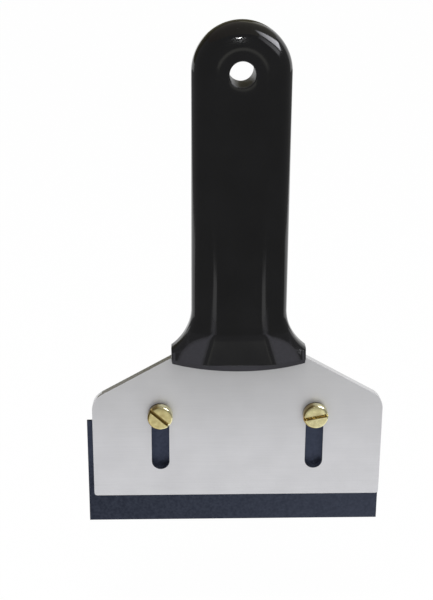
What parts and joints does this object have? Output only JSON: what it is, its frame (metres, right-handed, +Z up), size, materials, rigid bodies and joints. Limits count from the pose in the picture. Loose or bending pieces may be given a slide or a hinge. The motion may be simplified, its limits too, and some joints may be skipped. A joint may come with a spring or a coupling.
{
  "type": "razor blade scraper",
  "caption": "Hand scraper with a moulded handle and hanging hole, a slotted holder plate, and a wide steel blade gripped by a clamp plate and slotted screws.",
  "frame": {"origin": "centre of the hanging hole, midway between the front and the back of the grip", "axes": "+X across the blade to the right as seen from the front, +Y from front to back, +Z up along the handle"},
  "size_m": [0.1, 0.0208, 0.1716],
  "materials": {
    "handle_plastic": "glossy black moulded plastic",
    "plate_aluminium": "satin, brushed across",
    "blade_steel": "dark blued spring steel",
    "fastener_brass": "bright turned brass"
  },
  "bodies": {
    "holder": {"handle": "handle_plastic", "holder_plate": "plate_aluminium"},
    "clamp": {"clamp_plate": "plate_aluminium", "washer_left": "fastener_brass", "washer_right": "fastener_brass", "clamp_nut_left": "fastener_brass", "clamp_nut_right": "fastener_brass"},
    "blade": {"blade": "blade_steel"},
    "left_screw": {"clamp_screw_left": "fastener_brass"},
    "right_screw": {"clamp_screw_right": "fastener_brass"}
  },
  "joints": [
    {"name": "clamp_slide", "type": "slide", "parent": "holder", "child": "clamp", "axis": [0, 0, -1], "range_m": [0, 0.0174]},
    {"name": "blade_draw", "type": "slide", "parent": "clamp", "child": "blade", "axis": [0, 0, -1], "range_m": [0, 0.014]},
    {"name": "left_screw_turn", "type": "hinge", "parent": "clamp", "child": "left_screw", "pos_m": [-0.02605, 0, -0.1146], "axis": [0, 1, 0], "continuous": true},
    {"name": "right_screw_turn", "type": "hinge", "parent": "clamp", "child": "right_screw", "pos_m": [0.02605, 0, -0.1146], "axis": [0, 1, 0], "continuous": true}
  ]
}
